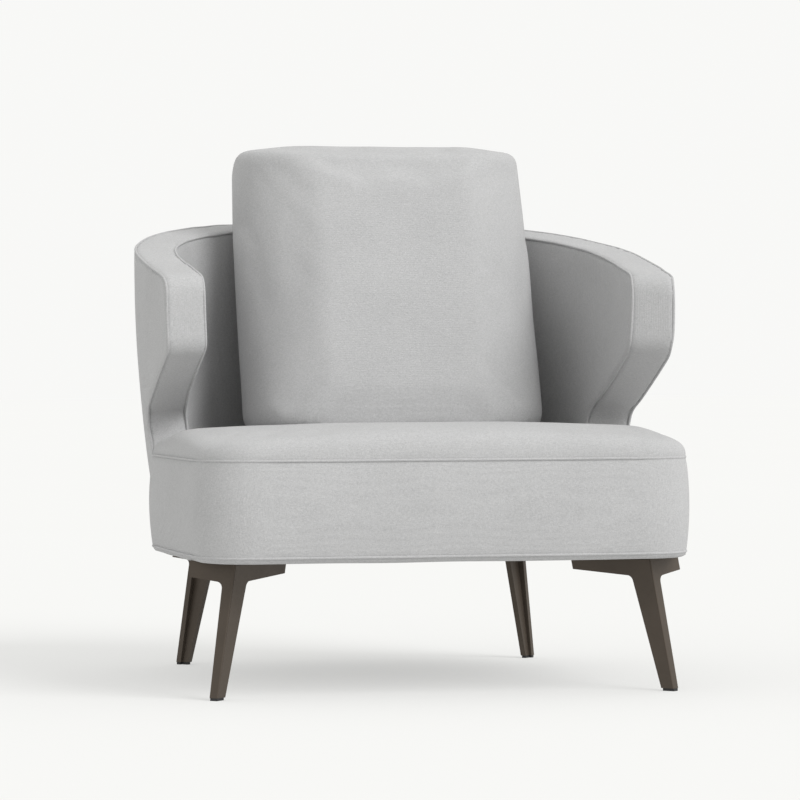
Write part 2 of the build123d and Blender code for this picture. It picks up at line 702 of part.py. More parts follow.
# ---- back cushion ----
lean = radians(CUSHION_LEAN)
cushion_back = Vector(0, cos(lean), -sin(lean))
cushion_up = Vector(0, sin(lean), cos(lean))
cushion_origin = Vector(CUSHION_X, CUSHION_FRONT_Y, CUSHION_FRONT_Z)


def back_cushion(inset):
    """The leaning cushion, shaped by the shell behind it and the seat under it."""
    front = Plane(origin=cushion_origin + cushion_back * inset, x_dir=(-1, 0, 0), z_dir=cushion_back)
    low_half = CUSHION_LOW_HALF_WIDTH - inset
    top_half = CUSHION_TOP_HALF_WIDTH - inset
    with BuildPart() as cushion:
        with BuildSketch(front):
            with BuildLine():
                Polyline(
                    (-low_half, -CUSHION_DROP),
                    (low_half, -CUSHION_DROP),
                    (top_half, CUSHION_RISE - inset),
                    (-top_half, CUSHION_RISE - inset),
                    close=True,
                )
            make_face()
        extrude(amount=CUSHION_THICKNESS - 2 * inset)
        upright = [edge for edge in cushion.edges() if abs(edge.tangent_at(0.5).dot(cushion_up)) > 0.9]
        fillet(upright, radius=CUSHION_SIDE_RADIUS - inset)
        split(bisect_by=Plane.XY.offset(CUSHION_TOP_Z - inset), keep=Keep.BOTTOM)
        fillet(cushion.faces().sort_by(Axis.Z)[-1].edges(), radius=CUSHION_TOP_RADIUS - inset)
        split(bisect_by=CUSHION_BACK_TOP.offset(-inset), keep=Keep.BOTTOM)
        add(tub_solid(SHELL_THICKNESS + WELT + CUSHION_GAP + inset), mode=Mode.INTERSECT)
        split(bisect_by=CUSHION_SEAT.offset(inset), keep=Keep.TOP)
    return cushion.part


zip_up = (ZIP_Z - CUSHION_FRONT_Z + CUSHION_THICKNESS * sin(lean)) / cos(lean)
zip_origin = cushion_origin + cushion_back * CUSHION_THICKNESS + cushion_up * zip_up
zip_plane = Plane(origin=zip_origin, x_dir=(1, 0, 0), z_dir=cushion_back)
slider_centre = (-(ZIP_LENGTH - SLIDER_LENGTH) / 2, 0)
slider_top = ZIP_GAP + SLIDER_HEIGHT

with BuildPart() as cushion_filling:
    add(back_cushion(FABRIC))

with BuildPart() as cushion_cover:
    add(back_cushion(0.0))
    add(cushion_filling.part, mode=Mode.SUBTRACT)
    with BuildSketch(zip_plane):
        Rectangle(ZIP_LENGTH + 2 * FIT_GAP, 2 * (ZIP_TAPE_HALF + FIT_GAP))
    extrude(amount=-(ZIP_TAPE + FIT_GAP), mode=Mode.SUBTRACT)

with BuildPart() as cushion_zip:
    with BuildSketch(zip_plane):
        Rectangle(ZIP_LENGTH, 2 * ZIP_TAPE_HALF)
    extrude(amount=-ZIP_TAPE)
    with BuildSketch(zip_plane):
        Rectangle(ZIP_LENGTH, 2 * ZIP_TEETH_HALF)
    extrude(amount=ZIP_TEETH)

with BuildPart() as zip_slider:
    with BuildSketch(zip_plane.offset(ZIP_GAP)):
        with Locations(slider_centre):
            Rectangle(SLIDER_LENGTH, 2 * SLIDER_HALF)
    extrude(amount=SLIDER_HEIGHT)
    with BuildSketch(zip_plane):
        with Locations(slider_centre):
            Rectangle(SLIDER_LENGTH, 2 * (ZIP_TEETH_HALF + ZIP_GAP))
    extrude(amount=ZIP_TEETH + ZIP_GAP, mode=Mode.SUBTRACT)

with BuildPart() as zip_pull:
    with BuildSketch(zip_plane.offset(slider_top)):
        with Locations((slider_centre[0], -PULL_LENGTH / 2 + PULL_WIDTH / 2)):
            SlotOverall(PULL_LENGTH, PULL_WIDTH, rotation=90)
    extrude(amount=PULL_THICKNESS)

# ---- files ----
nodes = {
    "leg_front_left": leg_front_left,
    "leg_front_right": leg_front_right,
    "leg_rear_left": leg_rear_left,
    "leg_rear_right": leg_rear_right,
    "glide_front_left": glide_front_left,
    "glide_front_right": glide_front_right,
    "glide_rear_left": glide_rear_left,
    "glide_rear_right": glide_rear_right,
    "leg_screws": leg_screws,
    "leg_inserts": leg_inserts,
    "dust_cover": dust_cover,
    "base_board": base_board,
    "seat_front_rail": seat_front_rail,
    "seat_rear_rail": seat_rear_rail,
    "seat_left_rail": seat_left_rail,
    "seat_right_rail": seat_right_rail,
    "seat_slant_rails": seat_slant_rails,
    "seat_corner_blocks": seat_corner_blocks,
    "webbing_cross": webbing_cross,
    "webbing_long": webbing_long,
    "seat_foam": seat_foam,
    "seat_edge_foam": seat_edge_foam,
    "seat_boxing": seat_boxing,
    "seat_top_cover": seat_top_cover,
    "seat_top_piping": seat_top_piping,
    "seat_bottom_piping": seat_bottom_piping,
    "shell_outer_cover": shell_outer_cover,
    "shell_outer_foam": shell_outer_foam,
    "shell_panel": shell_panel,
    "shell_inner_foam": shell_inner_foam,
    "shell_inner_cover": shell_inner_cover,
    "shell_border": shell_border,
    "shell_outer_piping": shell_outer_piping,
    "shell_inner_piping": shell_inner_piping,
    "shell_screws": shell_screws,
    "shell_inserts": shell_inserts,
    "cushion_cover": cushion_cover,
    "cushion_filling": cushion_filling,
    "cushion_zip": cushion_zip,
    "zip_slider": zip_slider,
    "zip_pull": zip_pull,
}
os.makedirs("parts", exist_ok=True)
for name, node in nodes.items():
    node.part.label = name
    export_step(node.part, f"parts/{name}.step")
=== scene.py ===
import json
import math

import bmesh
import bpy
import numpy as np
from mathutils import Matrix, Vector
from mathutils.bvhtree import BVHTree
from mathutils.noise import noise


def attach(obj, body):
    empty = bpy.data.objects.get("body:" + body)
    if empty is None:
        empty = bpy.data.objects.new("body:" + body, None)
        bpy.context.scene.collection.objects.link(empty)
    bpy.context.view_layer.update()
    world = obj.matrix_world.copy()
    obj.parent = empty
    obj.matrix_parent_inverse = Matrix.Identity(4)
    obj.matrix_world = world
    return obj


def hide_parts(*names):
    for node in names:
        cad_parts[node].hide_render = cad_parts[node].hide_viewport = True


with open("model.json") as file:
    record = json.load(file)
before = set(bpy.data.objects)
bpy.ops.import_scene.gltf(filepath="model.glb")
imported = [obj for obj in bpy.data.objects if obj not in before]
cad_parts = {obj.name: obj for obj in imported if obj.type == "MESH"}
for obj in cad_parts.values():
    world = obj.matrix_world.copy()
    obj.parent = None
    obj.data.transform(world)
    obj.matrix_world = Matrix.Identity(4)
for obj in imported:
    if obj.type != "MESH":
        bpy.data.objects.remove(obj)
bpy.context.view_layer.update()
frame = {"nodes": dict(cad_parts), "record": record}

# Upholstered armchair, in metres, in the CAD's frame. The padded pieces are grown from the CAD's foam,
# the seat's and the cushion's by cloth simulation. The welts follow the shell's and the seat's seams,
# and the rest is the CAD itself with procedural materials.

# ---- the seat's and the shell's shape, as in the CAD ----
SEAT_FRONT_HALF = 0.369
SEAT_REAR_HALF = 0.386
SEAT_FRONT_Y = -0.414
SEAT_END_Y = 0.008
SEAT_CORNER = 0.085
SEAT_BOTTOM_Z = 0.202
SEAT_LOW_SEAM_Z = 0.209
SEAT_SEAM_Z = 0.350
SHELL_HALF = 0.405
ARM_TUCK = 0.010
TUB_MIDDLE_Y = 0.0
SHELL_THICKNESS = 0.066
SHELL_FRONT_Y = -0.210
SHELL_REAR_Y = 0.369
SHELL_LEAN = 0.046
SHELL_LEAN_HEIGHT = 0.525
SHELL_BOTTOM_Z = 0.205
SHELL_FOOT_Y = 0.005
WALL_STRAIGHT_Z = 0.600
WALL_TUCK = 0.027
WALL_TUCK_HEIGHT = 0.280
SQUARE_REAR = 3.0
ROUND_REAR = 2.3
ROUND_REAR_Z = 0.560
RIM_HEIGHT = 0.656
RIM_SLOPE = 0.17
ARM_LOWER_Z = 0.508
ARM_CORNER_RADIUS = 0.030
NOTCH = (0.040, 0.404)
NOTCH_RADIUS = 0.028
EDGE_SKEW = 0.36
FABRIC = 0.002

# ---- padding and welts ----
VOXEL = 0.006
SHELL_VOXEL = 0.005
CLOTH_FRAMES = 20
SEAT_PRESSURE = 4.0
SEAT_MOVE_CAP = 0.004        # no point moves further than this in the simulation
CUSHION_PRESSURE = 3.0
CUSHION_MOVE_CAP = 0.008
EVEN_ROUNDS = 8              # rounds of evening out the simulated movement
BAND_TOP_Z = 0.300           # the band's block runs up into the foam
SEAM_REACH = 0.005           # the seat is held still this close to its top seam
LOW_SEAM_REACH = 0.004
BAND_FULLNESS = 0.005
CROWN_FULLNESS = 0.004
CROWN_FULL_HEIGHT = 0.010
CROWN_HEIGHT = 0.035
CORNER_DROP = 0.012          # the crown falls away to the front corners,
CORNER_DROP_Y = -0.15        # from here
CORNER_DROP_LENGTH = 0.20
CUSHION_REST_Y = -0.030      # the cushion rests on the seat behind this
CUSHION_REST_FADE = 0.08
CUSHION_MIDDLE = (0.019, 0.10)
CUSHION_SEAT = (-0.020, 0.388)    # a point of the plane it rests on, as (y, z)
CUSHION_SEAT_SLOPE = -0.074
CUSHION_FLAT = 0.15          # nearer to its middle than this, its points move in less
CUSHION_TUCK = 0.014         # how far its sides turn under where it meets the seat
CUSHION_TUCK_HEIGHT = 0.040
WELT_RADIUS = 0.0021
WELT_LIFT = 0.0007
INNER_WELT_LOW_Z = 0.330     # hidden inside the seat's crown
ARM_STEPS = 20
RIM_STEPS = 80

nodes = frame["nodes"]
scene = bpy.context.scene


# ---- materials ----
class Shader:
    """A node material with one Principled BSDF and short helpers for adding nodes."""

    def __init__(self, name):
        self.material = bpy.data.materials.new(name)
        self.material.use_nodes = True
        self.tree = self.material.node_tree
        self.bsdf = self.tree.nodes["Principled BSDF"]
        self.place = self.node("ShaderNodeTexCoord").outputs["Object"]

    def node(self, kind, **settings):
        made = self.tree.nodes.new(kind)
        for key, value in settings.items():
            setattr(made, key, value)
        return made

    def link(self, source, target):
        self.tree.links.new(source, target)

    def noise(self, scale, detail=2.0, stretch=(1, 1, 1)):
        mapping = self.node("ShaderNodeMapping")
        mapping.inputs["Scale"].default_value = stretch
        self.link(self.place, mapping.inputs["Vector"])
        made = self.node("ShaderNodeTexNoise")
        made.inputs["Scale"].default_value = scale
        made.inputs["Detail"].default_value = detail
        self.link(mapping.outputs["Vector"], made.inputs["Vector"])
        return made.outputs["Fac"]

    def ramp(self, source, stops):
        made = self.node("ShaderNodeValToRGB")
        ramp = made.color_ramp
        while len(ramp.elements) < len(stops):
            ramp.elements.new(0.5)
        for element, (position, colour) in zip(ramp.elements, stops):
            element.position = position
            element.color = (*colour, 1.0)
        self.link(source, made.inputs["Fac"])
        return made.outputs["Color"]

    def grey(self, source, low, high):
        made = self.node("ShaderNodeMapRange")
        made.inputs["To Min"].default_value = low
        made.inputs["To Max"].default_value = high
        self.link(source, made.inputs["Value"])
        return made.outputs["Result"]

    def mix(self, first, second, factor, blend="MIX"):
        made = self.node("ShaderNodeMix", data_type="RGBA", blend_type=blend)
        made.inputs["Factor"].default_value = factor
        self.link(first, made.inputs[6])
        self.link(second, made.inputs[7])
        return made.outputs[2]

    def maths(self, operation, first, second):
        made = self.node("ShaderNodeMath", operation=operation)
        for socket, value in zip(made.inputs, (first, second)):
            if isinstance(value, (int, float)):
                socket.default_value = value
            else:
                self.link(value, socket)
        return made.outputs["Value"]

    def bump(self, height, distance, strength=1.0, under=None):
        made = self.node("ShaderNodeBump")
        made.inputs["Distance"].default_value = distance
        made.inputs["Strength"].default_value = strength
        self.link(height, made.inputs["Height"])
        if under is not None:
            self.link(under, made.inputs["Normal"])
        return made.outputs["Normal"]

    def set(self, **values):
        for key, value in values.items():
            socket = self.bsdf.inputs[key.replace("_", " ")]
            if isinstance(value, (int, float, tuple)):
                socket.default_value = value
            else:
                self.link(value, socket)


def weave(shader, pitch):
    """Crossed threads, as the product of three fine waves that each run along one axis."""
    waves = []
    for direction in ("X", "Y", "Z"):
        made = shader.node("ShaderNodeTexWave", wave_type="BANDS", bands_direction=direction)
        made.inputs["Scale"].default_value = 0.314 / pitch
        made.inputs["Distortion"].default_value = 4.0
        made.inputs["Detail"].default_value = 2.0
        made.inputs["Detail Scale"].default_value = 3.0
        shader.link(shader.place, made.inputs["Vector"])
        waves.append(made.outputs["Fac"])
    return shader.maths("MULTIPLY", shader.maths("ADD", waves[0], waves[1]), waves[2])


def slubs(shader, scale):
    """Thick and thin stretches of yarn, running across and up."""
    across = shader.noise(scale, 2.0, (0.25, 0.25, 1.0))
    upward = shader.noise(scale, 2.0, (1.0, 1.0, 0.25))
    return shader.maths("MULTIPLY", shader.maths("ADD", across, upward), 0.5)


def fabric_material(name, light, dark, pitch):
    shader = Shader(name)
    threads = weave(shader, pitch)
    yarn = slubs(shader, 950.0)
    melange = shader.noise(1500.0, 1.0)
    cloud = shader.noise(9.0, 3.0)
    speckle = shader.maths("MULTIPLY", shader.maths("ADD", yarn, melange), 0.5)
    base = shader.ramp(speckle, [(0.36, dark), (0.62, light)])
    shade = shader.ramp(threads, [(0.0, (0.90, 0.90, 0.90)), (0.9, (1.0, 1.0, 1.0))])
    drift = shader.ramp(cloud, [(0.3, (0.95, 0.95, 0.95)), (0.7, (1.0, 1.0, 1.0))])
    colour = shader.mix(shader.mix(base, shade, 1.0, "MULTIPLY"), drift, 1.0, "MULTIPLY")
    soft = shader.bump(shader.noise(26.0, 4.0), 0.0022, 0.30)
    fine = shader.bump(shader.maths("ADD", threads, yarn), 0.0004, 0.6, soft)
    shader.set(Base_Color=colour, Roughness=shader.grey(melange, 0.82, 0.97), Normal=fine)
    shader.set(Sheen_Weight=0.15, Sheen_Roughness=0.5, Specular_IOR_Level=0.15)
    return shader.material


def metal_material(name, colour, highlight_colour, roughness, metallic):
    shader = Shader(name)
    grain = shader.noise(140.0, 6.0)
    cloud = shader.noise(14.0, 3.0)
    # Painted highlight: sharp edges, found by pointiness, take the lighter second colour, standing in for
    # light caught along the edges and the legs' crease.
    edge = shader.node("ShaderNodeNewGeometry").outputs["Pointiness"]
    edge_highlight = shader.ramp(edge, [(0.49, colour), (0.56, highlight_colour)])
    tint = shader.ramp(cloud, [(0.3, (0.82, 0.82, 0.82)), (0.7, (1.0, 1.0, 1.0))])
    shader.set(Base_Color=shader.mix(edge_highlight, tint, 1.0, "MULTIPLY"), Metallic=metallic)
    shader.set(Roughness=shader.grey(grain, roughness - 0.06, roughness + 0.08))
    shader.set(Normal=shader.bump(grain, 0.0002, 0.35), Specular_IOR_Level=0.25)
    return shader.material


def wood_material(name, light, dark, rings):
    shader = Shader(name)
    grain = shader.noise(rings, 6.0, (1.0, 0.06, 1.0))
    fleck = shader.noise(rings * 9.0, 3.0, (1.0, 0.1, 1.0))
    base = shader.ramp(grain, [(0.35, dark), (0.6, light)])
    tint = shader.ramp(fleck, [(0.35, (0.85, 0.85, 0.85)), (0.6, (1.0, 1.0, 1.0))])
    shader.set(Base_Color=shader.mix(base, tint, 1.0, "MULTIPLY"), Normal=shader.bump(fleck, 0.0003, 0.5))
    shader.set(Roughness=shader.grey(grain, 0.5, 0.72))
    return shader.material


def foam_material(name, light, dark):
    shader = Shader(name)
    cells = shader.node("ShaderNodeTexVoronoi")
    cells.inputs["Scale"].default_value = 900.0
    shader.link(shader.place, cells.inputs["Vector"])
    base = shader.ramp(cells.outputs["Distance"], [(0.1, dark), (0.5, light)])
    shader.set(Base_Color=base, Normal=shader.bump(cells.outputs["Distance"], 0.0006, 0.6))
    shader.set(Roughness=shader.grey(shader.noise(60.0), 0.85, 0.98))
    return shader.material


def rubber_material(name, colour):
    shader = Shader(name)
    grain = shader.noise(700.0, 3.0)
    lighter = tuple(2.0 * channel for channel in colour)
    shader.set(Base_Color=shader.ramp(grain, [(0.3, colour), (0.8, lighter)]))
    shader.set(Roughness=shader.grey(grain, 0.6, 0.85), Normal=shader.bump(grain, 0.0003, 0.4))
    return shader.material


FABRIC_LIGHT = (0.555, 0.555, 0.558)
FABRIC_DARK = (0.385, 0.385, 0.388)
materials = {
    "fabric": fabric_material("grey_melange", FABRIC_LIGHT, FABRIC_DARK, 0.0012),
    "foam": foam_material("foam", (0.86, 0.82, 0.66), (0.70, 0.65, 0.48)),
    "filling": foam_material("fibre_wrap", (0.90, 0.89, 0.86), (0.78, 0.77, 0.74)),
    "lining": fabric_material("lining", (0.05, 0.05, 0.05), (0.025, 0.025, 0.025), 0.0012),
    "board": wood_material("plywood", (0.66, 0.50, 0.33), (0.50, 0.36, 0.22), 30.0),
    "rail": wood_material("softwood", (0.62, 0.45, 0.28), (0.46, 0.31, 0.17), 40.0),
    "webbing": fabric_material("webbing", (0.22, 0.21, 0.20), (0.10, 0.10, 0.09), 0.002),
    # The second colour of each metal is a painted highlight on its sharp edges.
    "leg": metal_material("dark_bronze", (0.020, 0.014, 0.010), (0.08, 0.064, 0.05), 0.46, 0.25),
    "glide": rubber_material("glide_black", (0.012, 0.012, 0.012)),
    "screw": metal_material("zinc", (0.50, 0.50, 0.50), (0.70, 0.70, 0.70), 0.35, 1.0),
    "zip": rubber_material("zip_nylon", (0.30, 0.30, 0.30)),
    "zip_metal": metal_material("zip_metal", (0.33, 0.33, 0.33), (0.55, 0.55, 0.55), 0.35, 1.0),
}
for entry in frame["record"]["subparts"]:
    mesh = nodes[entry["node"]].data
    mesh.materials.clear()
    mesh.materials.append(materials[entry["material_slot"]])


# ---- mesh helpers ----
def make_object(name, mesh, body, slot="fabric"):
    mesh.name = name
    made = bpy.data.objects.new(name, mesh)
    scene.collection.objects.link(made)
    mesh.materials.clear()
    mesh.materials.append(materials[slot])
    mesh.polygons.foreach_set("use_smooth", [True] * len(mesh.polygons))
    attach(made, body)
    return made


def positions(mesh):
    flat = np.empty(len(mesh.vertices) * 3)
    mesh.vertices.foreach_get("co", flat)
    return flat.reshape(-1, 3)


def set_positions(mesh, points):
    mesh.vertices.foreach_set("co", np.ascontiguousarray(points).ravel())
    mesh.update()


def normals(mesh):
    flat = np.empty(len(mesh.vertices) * 3)
    mesh.vertices.foreach_get("normal", flat)
    return flat.reshape(-1, 3)


def merged(meshes):
    """One mesh from copies of several."""
    joined = bmesh.new()
    for mesh in meshes:
        joined.from_mesh(mesh)
    bmesh.ops.remove_doubles(joined, verts=joined.verts, dist=1e-6)
    made = bpy.data.meshes.new("merged")
    joined.to_mesh(made)
    joined.free()
    return made


def apply_modifiers(mesh, *modifiers):
    """A copy of the mesh with modifiers applied, each given as (kind, settings)."""
    carrier = bpy.data.objects.new("carrier", mesh)
    scene.collection.objects.link(carrier)
    for kind, settings in modifiers:
        modifier = carrier.modifiers.new(kind, kind)
        for key, value in settings.items():
            setattr(modifier, key, value)
    bpy.context.view_layer.update()
    made = bpy.data.meshes.new_from_object(carrier.evaluated_get(bpy.context.evaluated_depsgraph_get()))
    bpy.data.objects.remove(carrier)
    return made


def remeshed(mesh, voxel, smoothing):
    remesh = ("REMESH", {"mode": "VOXEL", "voxel_size": voxel, "use_smooth_shade": True})
    smooth = ("SMOOTH", {"factor": 0.5, "iterations": smoothing})
    return apply_modifiers(mesh, remesh, smooth)


def spread(mesh, values, rounds):
    """Values at the points of a mesh, evened out between neighbours."""
    ends = np.empty(len(mesh.edges) * 2, dtype=np.int64)
    mesh.edges.foreach_get("vertices", ends)
    first, second = ends.reshape(-1, 2).T
    count = np.bincount(ends, minlength=len(mesh.vertices))[:, None]
    for _ in range(rounds):
        total = np.zeros_like(values)
        np.add.at(total, first, values[second])
        np.add.at(total, second, values[first])
        values = (values + total / count) / 2
    return values


def inflate(mesh, pressure, cap, pinned):
    """Blows the mesh up as cloth, held where pinned is true, with no point moved further than cap."""
    start = positions(mesh)
    carrier = bpy.data.objects.new("cloth", mesh)
    scene.collection.objects.link(carrier)
    held = carrier.vertex_groups.new(name="held")
    held.add([int(i) for i in np.flatnonzero(pinned)], 1.0, "REPLACE")
    cloth = carrier.modifiers.new("cloth", "CLOTH")
    settings = cloth.settings
    settings.quality = 6
    settings.mass = 0.3
    settings.tension_stiffness = 20.0
    settings.compression_stiffness = 20.0
    settings.shear_stiffness = 10.0
    settings.bending_stiffness = 2.0
    settings.use_pressure = True
    settings.uniform_pressure_force = pressure
    settings.vertex_group_mass = "held"
    settings.effector_weights.gravity = 0.0
    cloth.point_cache.frame_start = 1
    cloth.point_cache.frame_end = CLOTH_FRAMES
    for step in range(1, CLOTH_FRAMES + 1):
        scene.frame_set(step)
    shape = carrier.evaluated_get(bpy.context.evaluated_depsgraph_get()).to_mesh()
    moved = positions(shape) - start
    length = np.linalg.norm(moved, axis=1)
    moved *= (np.minimum(length, cap) / np.maximum(length, 1e-9))[:, None]
    bpy.data.objects.remove(carrier)
    scene.frame_set(1)
    set_positions(mesh, start + spread(mesh, moved, EVEN_ROUNDS))


def crumple(mesh, scale, height, keep=None):
    """A faint unevenness, as padded fabric has."""
    points = positions(mesh)
    lift = np.array([noise(Vector(p) * scale) for p in points]) * height
    if keep is not None:
        lift *= keep(points)
    set_positions(mesh, points + normals(mesh) * lift[:, None])


def tube(points, radius, sides=10):
    """A round cord along a line of points, with closed ends."""
    path = [Vector(p) for p in points]
    count = len(path)
    rings = []
    side = None
    made = bmesh.new()
    for i, centre in enumerate(path):
        ahead = (path[min(i + 1, count - 1)] - path[max(i - 1, 0)]).normalized()
        if side is None:
            side = ahead.orthogonal().normalized()
        side = (side - ahead * side.dot(ahead)).normalized()
        other = ahead.cross(side)
        ring = []
        for k in range(sides):
            turn = 2 * math.pi * k / sides
            ring.append(made.verts.new(centre + (side * math.cos(turn) + other * math.sin(turn)) * radius))
        rings.append(ring)
    for low, high in zip(rings, rings[1:]):
        for k in range(sides):
            made.faces.new((low[k], low[(k + 1) % sides], high[(k + 1) % sides], high[k]))
    made.faces.new(list(reversed(rings[0])))
    made.faces.new(rings[-1])
    mesh = bpy.data.meshes.new("tube")
    made.to_mesh(mesh)
    made.free()
    return mesh


def rounded_line(corners, radii, step):
    """Points along a line in a plane whose corners are rounded."""
    points = []
    for i, corner in enumerate(corners):
        here = Vector(corner)
        if i in (0, len(corners) - 1) or radii[i] == 0:
            points.append(here)
            continue
        back = (Vector(corners[i - 1]) - here).normalized()
        ahead = (Vector(corners[i + 1]) - here).normalized()
        half = back.angle(ahead) / 2
        reach = radii[i] / math.tan(half)
        centre = here + (back + ahead).normalized() * (radii[i] / math.sin(half))
        first = here + back * reach - centre
        last = here + ahead * reach - centre
        swing = first.angle_signed(last)
        for k in range(9):
            turned = Matrix.Rotation(-swing * k / 8, 2) @ first
            points.append(centre + turned)
    dense = [points[0]]
    for low, high in zip(points, points[1:]):
        pieces = max(1, math.ceil((high - low).length / step))
        dense += [low.lerp(high, (k + 1) / pieces) for k in range(pieces)]
    return dense


# ---- the tub surface, as in the CAD ----
def tub_half(z, inset):
    drop = max(WALL_STRAIGHT_Z - z, 0.0) / WALL_TUCK_HEIGHT
    return SHELL_HALF - inset - WALL_TUCK * drop ** 1.6


def tub_depth(z, inset):
    rise = max(z - SHELL_BOTTOM_Z, 0.0) / SHELL_LEAN_HEIGHT
    return SHELL_REAR_Y - TUB_MIDDLE_Y - inset + SHELL_LEAN * rise ** 1.5


def tub_exponent(z):
    share = min(max((z - SHELL_BOTTOM_Z) / (ROUND_REAR_Z - SHELL_BOTTOM_Z), 0.0), 1.0)
    return SQUARE_REAR + (ROUND_REAR - SQUARE_REAR) * share


def tub_x(y, z, inset):
    if y < TUB_MIDDLE_Y:
        forward = (y - TUB_MIDDLE_Y) / (SHELL_FRONT_Y - TUB_MIDDLE_Y)
        return tub_half(z, inset) - ARM_TUCK * forward ** 2
    share = min((y - TUB_MIDDLE_Y) / tub_depth(z, inset), 1.0)
    power = tub_exponent(z)
    return tub_half(z, inset) * (1.0 - share ** power) ** (1.0 / power)


def rim_height(y, lift):
    return RIM_HEIGHT + RIM_SLOPE * y + lift


def rim_point(angle, inset, lift):
    """A point on the rim behind the tub's middle, from angle 0 at its side to a right angle at its back."""
    z = RIM_HEIGHT
    for _ in range(5):
        power = 2.0 / tub_exponent(z)
        y = TUB_MIDDLE_Y + tub_depth(z, inset) * math.sin(angle) ** power
        z = rim_height(y, lift)
    return Vector((tub_half(z, inset) * max(math.cos(angle), 0.0) ** power, y, z))


def edge_point(y, z, inset):
    """A point of the arm's edge, which is cut on a skew, on one layer of the shell."""
    at_y, at_z = y, z
    for _ in range(5):
        x = tub_x(at_y, at_z, inset)
        slide = EDGE_SKEW * (SHELL_HALF - ARM_TUCK - x)
        at_y, at_z = y + slide, z + slide * RIM_SLOPE
    return Vector((x, at_y, at_z))


def shell_seam(inset, lift, low_z):
    """The line of a seam along the shell's edge, from its right foot round the back to its left foot."""
    front = SHELL_FRONT_Y - lift
    foot = SHELL_FOOT_Y - lift
    corners = [
        (foot, low_z),
        (foot, SEAT_SEAM_Z),
        (NOTCH[0] - lift, NOTCH[1]),
        (front, ARM_LOWER_Z - lift),
        (front, rim_height(front, lift)),
        (front + 0.05, rim_height(front + 0.05, lift)),
    ]
    radii = (0, NOTCH_RADIUS, NOTCH_RADIUS, ARM_CORNER_RADIUS, ARM_CORNER_RADIUS, 0)
    side = rounded_line(corners, radii, 0.008)
    right = [edge_point(y, z, inset) for y, z in side]
    arm_end = right[-1].y
    for k in range(1, ARM_STEPS):
        y = arm_end + (TUB_MIDDLE_Y - arm_end) * k / ARM_STEPS
        z = rim_height(y, lift)
        right.append(Vector((tub_x(y, z, inset), y, z)))
    for k in range(RIM_STEPS + 1):
        right.append(rim_point(math.pi / 2 * k / RIM_STEPS, inset, lift))
    left = [Vector((-p.x, p.y, p.z)) for p in reversed(right[:-1])]
    return right + left


def seat_line(grow, z):
    """The seat's outline round its front, from its right end to its left end."""
    front = (SEAT_FRONT_HALF + grow, SEAT_FRONT_Y - grow)
    end = (SEAT_REAR_HALF + grow, SEAT_END_Y)
    corners = [end, front, (-front[0], front[1]), (-end[0], end[1])]
    radius = SEAT_CORNER + grow
    line = rounded_line(corners, (0, radius, radius, 0), 0.010)
    return [Vector((x, y, z)) for x, y in line]


def extruded(outline, low_z, high_z):
    """A closed block over an outline."""
    made = bmesh.new()
    low = [made.verts.new((p.x, p.y, low_z)) for p in outline]
    high = [made.verts.new((p.x, p.y, high_z)) for p in outline]
    count = len(outline)
    for i in range(count):
        after = (i + 1) % count
        made.faces.new((low[i], low[after], high[after], high[i]))
    made.faces.new(low)
    made.faces.new(list(reversed(high)))
    bmesh.ops.recalc_face_normals(made, faces=made.faces)
    mesh = bpy.data.meshes.new("block")
    made.to_mesh(mesh)
    made.free()
    return mesh


def near(values, target, reach):
    return np.abs(values - target) < reach


def grow(mesh, amount):
    """Moves every point out along its normal, by one distance or by one for each point."""
    lift = np.broadcast_to(amount, len(mesh.vertices))
    set_positions(mesh, positions(mesh) + normals(mesh) * lift[:, None])


def laid_on(line, mesh, lift):
    """The line's points moved to the surface of a mesh and a little out of it, and evened out."""
    surface = BVHTree.FromPolygons(
        [vertex.co for vertex in mesh.vertices], [tuple(face.vertices) for face in mesh.polygons]
    )
    found = [surface.find_nearest(point) for point in line]
    laid = np.array([hit[0] + hit[1] * lift for hit in found])
    for _ in range(6):
        laid[1:-1] = laid[1:-1] / 2 + (laid[:-2] + laid[2:]) / 4
    return laid


# ---- seat ----
band = extruded(seat_line(-FABRIC, 0.0), SEAT_BOTTOM_Z, BAND_TOP_Z)
seat_mesh = remeshed(merged([nodes["seat_foam"].data, band]), VOXEL, 4)
points = positions(seat_mesh)
outside = points[:, 1] < SEAT_END_Y - 0.004
up_band = np.clip((points[:, 2] - SEAT_LOW_SEAM_Z) / (SEAT_SEAM_Z - SEAT_LOW_SEAM_Z), 0.0, 1.0)
over_seam = np.maximum(points[:, 2] - SEAT_SEAM_Z, 0.0)
before_cushion = np.clip((CUSHION_REST_Y - points[:, 1]) / CUSHION_REST_FADE, 0.0, 1.0)
fullness = BAND_FULLNESS * 4.0 * up_band * (1.0 - up_band) * outside
fullness += CROWN_FULLNESS * (1.0 - np.exp(-over_seam / CROWN_FULL_HEIGHT)) * before_cushion
grow(seat_mesh, FABRIC * outside + fullness)
to_side = (np.abs(points[:, 0]) / SEAT_FRONT_HALF) ** 3
to_front = np.clip((CORNER_DROP_Y - points[:, 1]) / CORNER_DROP_LENGTH, 0.0, 1.0)
up_crown = np.clip(over_seam / CROWN_HEIGHT, 0.0, 1.0)
dropped = positions(seat_mesh)
dropped[:, 2] -= CORNER_DROP * to_side * to_front * up_crown
set_positions(seat_mesh, dropped)
at_top_seam = near(points[:, 2], SEAT_SEAM_Z, SEAM_REACH)
at_low_seam = near(points[:, 2], SEAT_LOW_SEAM_Z, LOW_SEAM_REACH)
hidden = ~outside | (points[:, 2] < SEAT_LOW_SEAM_Z)
inflate(seat_mesh, SEAT_PRESSURE, SEAT_MOVE_CAP, hidden | at_top_seam | at_low_seam)
crumple(seat_mesh, 9.0, 0.0010)
seat = make_object("seat_padding", seat_mesh, "frame")
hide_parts("seat_foam", "seat_edge_foam", "seat_boxing", "seat_top_cover")

